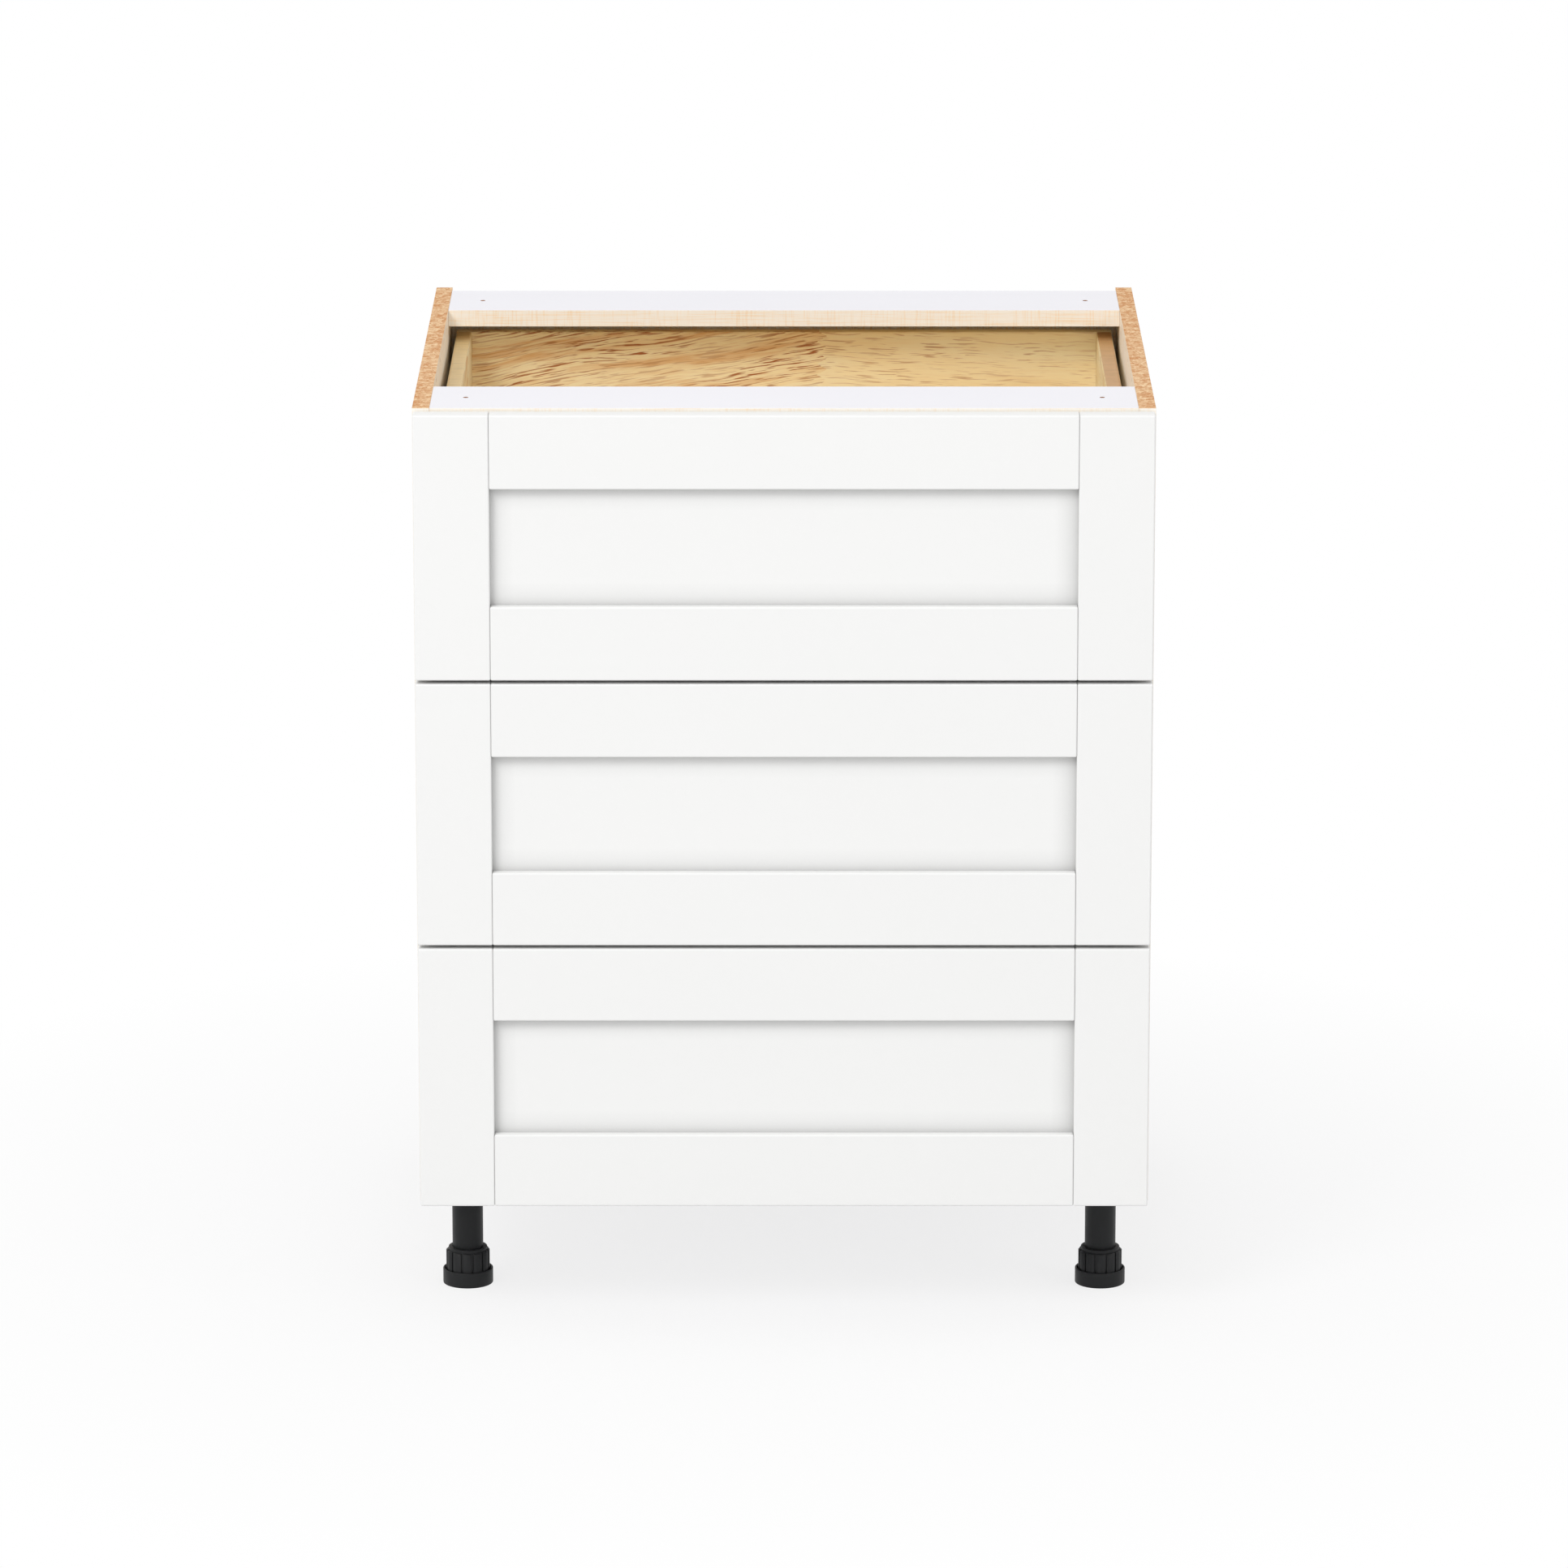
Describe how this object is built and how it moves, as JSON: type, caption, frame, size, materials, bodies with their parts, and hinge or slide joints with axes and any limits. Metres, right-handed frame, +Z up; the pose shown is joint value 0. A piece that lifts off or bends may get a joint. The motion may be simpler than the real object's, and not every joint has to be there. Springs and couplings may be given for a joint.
{
  "type": "base cabinet with drawers",
  "caption": "Frameless kitchen base cabinet with full-width recessed-panel drawers on undermount runners, flat top stretchers for a worktop and adjustable legs.",
  "frame": {"origin": "on the floor, under the middle of the cabinet's width and depth, the drawer fronts included", "axes": "+Z up, -Y out of the drawer fronts, +X to the right as seen from the front"},
  "size_m": [0.6858, 0.6096, 0.8763],
  "materials": {
    "white_paint": "satin white lacquer on the drawer fronts",
    "white_laminate": "matt white laminate on particleboard, maple look on the inner faces and bare board on the cut edges",
    "maple_laminate": "matt maple-look laminate on particleboard",
    "rubberwood": "clear lacquer on solid hardwood",
    "birch_ply": "clear lacquer on plywood",
    "zinc_steel": "bright zinc plate",
    "black_plastic": "satin black moulded plastic"
  },
  "bodies": {
    "carcass": {"side_panel_left": "white_laminate", "side_panel_right": "white_laminate", "bottom_panel": "maple_laminate", "back_panel": "maple_laminate", "front_stretcher": "white_laminate", "rear_stretcher": "white_laminate", "lower_cabinet_rail_left": "zinc_steel", "lower_cabinet_rail_right": "zinc_steel", "middle_cabinet_rail_left": "zinc_steel", "middle_cabinet_rail_right": "zinc_steel", "upper_cabinet_rail_left": "zinc_steel", "upper_cabinet_rail_right": "zinc_steel", "leg_tube_front_left": "black_plastic", "leg_tube_front_right": "black_plastic", "leg_tube_rear_left": "black_plastic", "leg_tube_rear_right": "black_plastic"},
    "lower_drawer": {"lower_front_frame": "white_paint", "lower_front_panel": "white_paint", "lower_box_front": "rubberwood", "lower_box_back": "rubberwood", "lower_box_bottom": "birch_ply", "lower_box_side_left": "rubberwood", "lower_box_side_right": "rubberwood", "lower_drawer_rail_left": "zinc_steel", "lower_drawer_rail_right": "zinc_steel"},
    "lower_middle_rails": {"lower_middle_rail_left": "zinc_steel", "lower_middle_rail_right": "zinc_steel"},
    "middle_drawer": {"middle_front_frame": "white_paint", "middle_front_panel": "white_paint", "middle_box_front": "rubberwood", "middle_box_back": "rubberwood", "middle_box_bottom": "birch_ply", "middle_box_side_left": "rubberwood", "middle_box_side_right": "rubberwood", "middle_drawer_rail_left": "zinc_steel", "middle_drawer_rail_right": "zinc_steel"},
    "middle_middle_rails": {"middle_middle_rail_left": "zinc_steel", "middle_middle_rail_right": "zinc_steel"},
    "upper_drawer": {"upper_front_frame": "white_paint", "upper_front_panel": "white_paint", "upper_box_front": "rubberwood", "upper_box_back": "rubberwood", "upper_box_bottom": "birch_ply", "upper_box_side_left": "rubberwood", "upper_box_side_right": "rubberwood", "upper_drawer_rail_left": "zinc_steel", "upper_drawer_rail_right": "zinc_steel"},
    "upper_middle_rails": {"upper_middle_rail_left": "zinc_steel", "upper_middle_rail_right": "zinc_steel"},
    "foot_front_left": {"leg_foot_front_left": "black_plastic"},
    "adjuster_front_left": {"leg_adjuster_front_left": "black_plastic"},
    "foot_front_right": {"leg_foot_front_right": "black_plastic"},
    "adjuster_front_right": {"leg_adjuster_front_right": "black_plastic"},
    "foot_rear_left": {"leg_foot_rear_left": "black_plastic"},
    "adjuster_rear_left": {"leg_adjuster_rear_left": "black_plastic"},
    "foot_rear_right": {"leg_foot_rear_right": "black_plastic"},
    "adjuster_rear_right": {"leg_adjuster_rear_right": "black_plastic"}
  },
  "joints": [
    {"name": "lower_drawer_slide", "type": "slide", "parent": "carcass", "child": "lower_drawer", "axis": [0, -1, 0], "range_m": [0, 0.5]},
    {"name": "lower_middle_rail_slide", "type": "slide", "parent": "carcass", "child": "lower_middle_rails", "axis": [0, -1, 0], "range_m": [0, 0.25]},
    {"name": "middle_drawer_slide", "type": "slide", "parent": "carcass", "child": "middle_drawer", "axis": [0, -1, 0], "range_m": [0, 0.5]},
    {"name": "middle_middle_rail_slide", "type": "slide", "parent": "carcass", "child": "middle_middle_rails", "axis": [0, -1, 0], "range_m": [0, 0.25]},
    {"name": "upper_drawer_slide", "type": "slide", "parent": "carcass", "child": "upper_drawer", "axis": [0, -1, 0], "range_m": [0, 0.5]},
    {"name": "upper_middle_rail_slide", "type": "slide", "parent": "carcass", "child": "upper_middle_rails", "axis": [0, -1, 0], "range_m": [0, 0.25]},
    {"name": "foot_front_left_height", "type": "slide", "parent": "carcass", "child": "foot_front_left", "axis": [0, 0, -1], "range_m": [-0.006, 0.012]},
    {"name": "adjuster_front_left_turn", "type": "hinge", "parent": "foot_front_left", "child": "adjuster_front_left", "pos_m": [-0.3025, -0.1732, 0.02], "axis": [0, 0, -1], "range_deg": [-720, 1440]},
    {"name": "foot_front_right_height", "type": "slide", "parent": "carcass", "child": "foot_front_right", "axis": [0, 0, -1], "range_m": [-0.006, 0.012]},
    {"name": "adjuster_front_right_turn", "type": "hinge", "parent": "foot_front_right", "child": "adjuster_front_right", "pos_m": [0.3025, -0.1732, 0.02], "axis": [0, 0, -1], "range_deg": [-720, 1440]},
    {"name": "foot_rear_left_height", "type": "slide", "parent": "carcass", "child": "foot_rear_left", "axis": [0, 0, -1], "range_m": [-0.006, 0.012]},
    {"name": "adjuster_rear_left_turn", "type": "hinge", "parent": "foot_rear_left", "child": "adjuster_rear_left", "pos_m": [-0.3025, 0.2248, 0.02], "axis": [0, 0, -1], "range_deg": [-720, 1440]},
    {"name": "foot_rear_right_height", "type": "slide", "parent": "carcass", "child": "foot_rear_right", "axis": [0, 0, -1], "range_m": [-0.006, 0.012]},
    {"name": "adjuster_rear_right_turn", "type": "hinge", "parent": "foot_rear_right", "child": "adjuster_rear_right", "pos_m": [0.3025, 0.2248, 0.02], "axis": [0, 0, -1], "range_deg": [-720, 1440]}
  ],
  "couplings": [
    {"joint": "lower_middle_rail_slide", "follows": "lower_drawer_slide", "ratio": 0.5},
    {"joint": "middle_middle_rail_slide", "follows": "middle_drawer_slide", "ratio": 0.5},
    {"joint": "upper_middle_rail_slide", "follows": "upper_drawer_slide", "ratio": 0.5},
    {"joint": "adjuster_front_left_turn", "follows": "foot_front_left_height", "rad_per_m": 2094.4},
    {"joint": "adjuster_front_right_turn", "follows": "foot_front_right_height", "rad_per_m": 2094.4},
    {"joint": "adjuster_rear_left_turn", "follows": "foot_rear_left_height", "rad_per_m": 2094.4},
    {"joint": "adjuster_rear_right_turn", "follows": "foot_rear_right_height", "rad_per_m": 2094.4}
  ]
}
